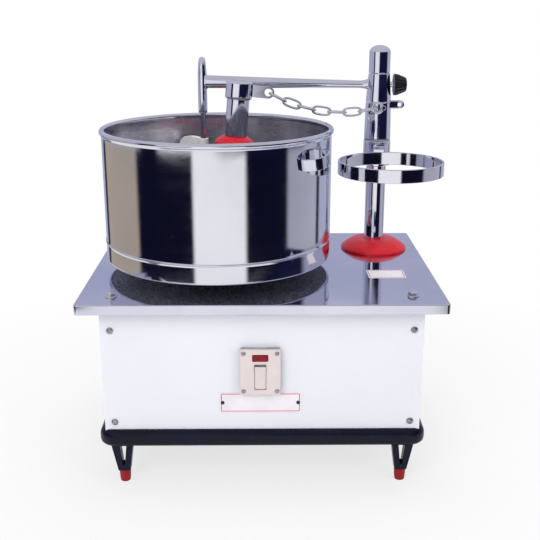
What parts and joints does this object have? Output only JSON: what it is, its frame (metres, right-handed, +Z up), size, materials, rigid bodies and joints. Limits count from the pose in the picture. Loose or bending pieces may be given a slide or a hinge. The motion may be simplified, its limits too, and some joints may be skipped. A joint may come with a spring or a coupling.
{
  "type": "wet grinder",
  "caption": "Table-top wet grinder: a belt-driven steel drum with a granite base, a leaning roller stone on a lift-off arm, a scraper, and a ring that parks the stone, on a boxed cabinet.",
  "frame": {"origin": "on the floor under the middle of the box that holds the whole machine", "axes": "+Z up, -Y the front with the switch, +X the side with the post"},
  "size_m": [0.454, 0.331, 0.5252],
  "materials": {
    "black_paint": "glossy black paint",
    "red_rubber": "moulded red rubber",
    "frame_paint": "grey primer",
    "white_paint": "smooth white powder coat",
    "zinc_steel": "zinc-plated steel",
    "mirror_steel": "mirror-polished stainless sheet",
    "cast_iron": "machined casting",
    "pulley_alloy": "turned aluminium casting",
    "bronze": "turned bronze",
    "shaft_steel": "ground steel",
    "black_plastic": "moulded black plastic",
    "black_rubber": "black rubber",
    "switch_plastic": "glossy cream plastic",
    "neon_red": "clear red plastic",
    "plate_white": "bare enamelled plate",
    "pin_black": "blackened",
    "chrome": "bright chrome plate",
    "red_plastic": "glossy red plastic",
    "granite": "dark speckled granite",
    "nylon": "white nylon",
    "knob_black": "glossy black plastic"
  },
  "bodies": {
    "base": {"base_tray": "black_paint", "legs": "black_paint", "feet": "red_rubber", "chassis": "frame_paint", "front_panel": "white_paint", "side_panels": "white_paint", "back_panel": "white_paint", "panel_screws": "zinc_steel", "top_plate": "mirror_steel", "plate_bolts": "mirror_steel", "plate_nuts": "zinc_steel", "bearing_bridge": "frame_paint", "bridge_bolts": "zinc_steel", "bearing_housing": "cast_iron", "shaft_bushes": "bronze", "thrust_washer": "bronze", "motor_bridge": "frame_paint", "motor_body": "frame_paint", "motor_bolts": "zinc_steel", "capacitor": "black_plastic", "capacitor_clip": "zinc_steel", "v_belt": "black_rubber", "switch_box": "switch_plastic", "switch_screws": "zinc_steel", "neon_lens": "neon_red", "name_plate": "plate_white", "name_pins": "pin_black", "plate_label": "plate_white", "cord_gland": "black_plastic", "post": "chrome", "post_nut": "zinc_steel", "post_cap": "red_plastic", "ring_collar": "chrome", "stone_ring": "chrome"},
    "drum": {"drum_shell": "mirror_steel", "base_stone": "granite", "drum_grips": "mirror_steel", "drum_hub": "cast_iron", "hub_screws": "zinc_steel", "drum_shaft": "shaft_steel", "driven_pulley": "pulley_alloy"},
    "rotor": {"motor_shaft": "shaft_steel", "motor_pulley": "pulley_alloy", "motor_fan": "black_plastic"},
    "swing": {"swing_washer": "nylon"},
    "arm": {"arm": "chrome", "chain_eye": "chrome", "stone_spindle": "chrome", "spindle_nut": "zinc_steel"},
    "stone": {"roller_stone": "granite", "stone_bush": "bronze", "stone_plug": "black_rubber", "stone_cap": "red_plastic"},
    "chain": {"chain": "chrome"},
    "knob": {"clamp_knob": "knob_black", "clamp_stud": "chrome"},
    "scraper": {"scraper_rod": "chrome", "scraper_blade": "nylon"},
    "rocker": {"rocker": "switch_plastic"}
  },
  "joints": [
    {"name": "drum_spin", "type": "hinge", "parent": "base", "child": "drum", "pos_m": [-0.0645, 0.006, 0.26], "axis": [0, 0, 1], "continuous": true},
    {"name": "motor_spin", "type": "hinge", "parent": "base", "child": "rotor", "pos_m": [0.115, 0.006, 0.15], "axis": [0, 0, 1], "continuous": true},
    {"name": "arm_swing", "type": "hinge", "parent": "base", "child": "swing", "pos_m": [0.152, 0.084, 0.4], "axis": [0, 0, 1], "range_deg": [0, 30]},
    {"name": "arm_lift", "type": "slide", "parent": "swing", "child": "arm", "axis": [0, 0, 1], "range_m": [0, 0.17]},
    {"name": "stone_spin", "type": "hinge", "parent": "arm", "child": "stone", "pos_m": [-0.037, 0.054, 0.4691], "axis": [0.0872, 0, 0.9962], "continuous": true},
    {"name": "chain_swing", "type": "hinge", "parent": "arm", "child": "chain", "pos_m": [0.00175, 0.06, 0.465], "axis": [0.9903, 0, -0.1389], "range_deg": [-18, 18]},
    {"name": "knob_turn", "type": "hinge", "parent": "arm", "child": "knob", "pos_m": [0.152, 0.084, 0.473], "axis": [1, 0, 0], "range_deg": [0, 720]},
    {"name": "scraper_turn", "type": "hinge", "parent": "arm", "child": "scraper", "pos_m": [-0.0873, 0.084, 0.45], "axis": [0, 0, 1], "range_deg": [0, 40]},
    {"name": "rocker_tip", "type": "hinge", "parent": "base", "child": "rocker", "pos_m": [-0.0095, -0.14525, 0.146], "axis": [-1, 0, 0], "range_deg": [0, 16]}
  ],
  "couplings": [
    {"joint": "motor_spin", "follows": "drum_spin", "ratio": 7.0645}
  ]
}
